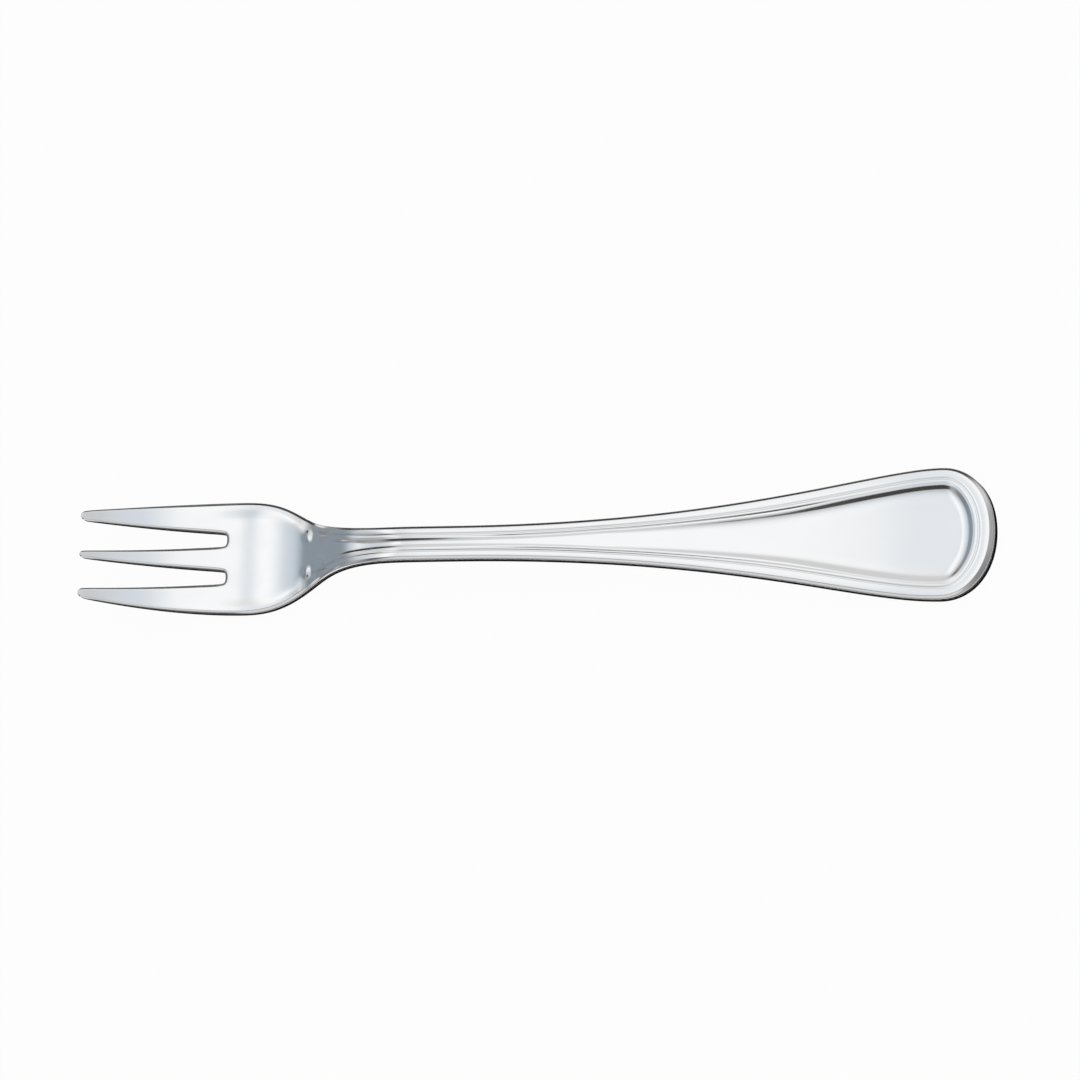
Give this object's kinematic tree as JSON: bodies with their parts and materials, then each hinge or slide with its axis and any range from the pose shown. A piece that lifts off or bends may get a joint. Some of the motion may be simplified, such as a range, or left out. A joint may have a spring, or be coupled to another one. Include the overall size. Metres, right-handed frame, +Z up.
{
  "type": "oyster fork",
  "caption": "Oyster fork with slender tapering tines, a shallow curved head, a narrow stem and a flared handle whose raised thread border frames a recessed panel.",
  "frame": {"origin": "on the table under the middle of the fork's length, with the fork at rest tines up", "axes": "+X along the fork from the tines to the handle end, +Y across it, +Z up from the table"},
  "size_m": [0.143, 0.02, 0.0086],
  "materials": {
    "polished_steel": "mirror-polished stainless steel with fine wiping marks"
  },
  "bodies": {
    "root": {"tine_left": "polished_steel", "tine_middle": "polished_steel", "tine_right": "polished_steel", "head": "polished_steel", "neck": "polished_steel", "stem": "polished_steel", "handle": "polished_steel"}
  },
  "joints": []
}
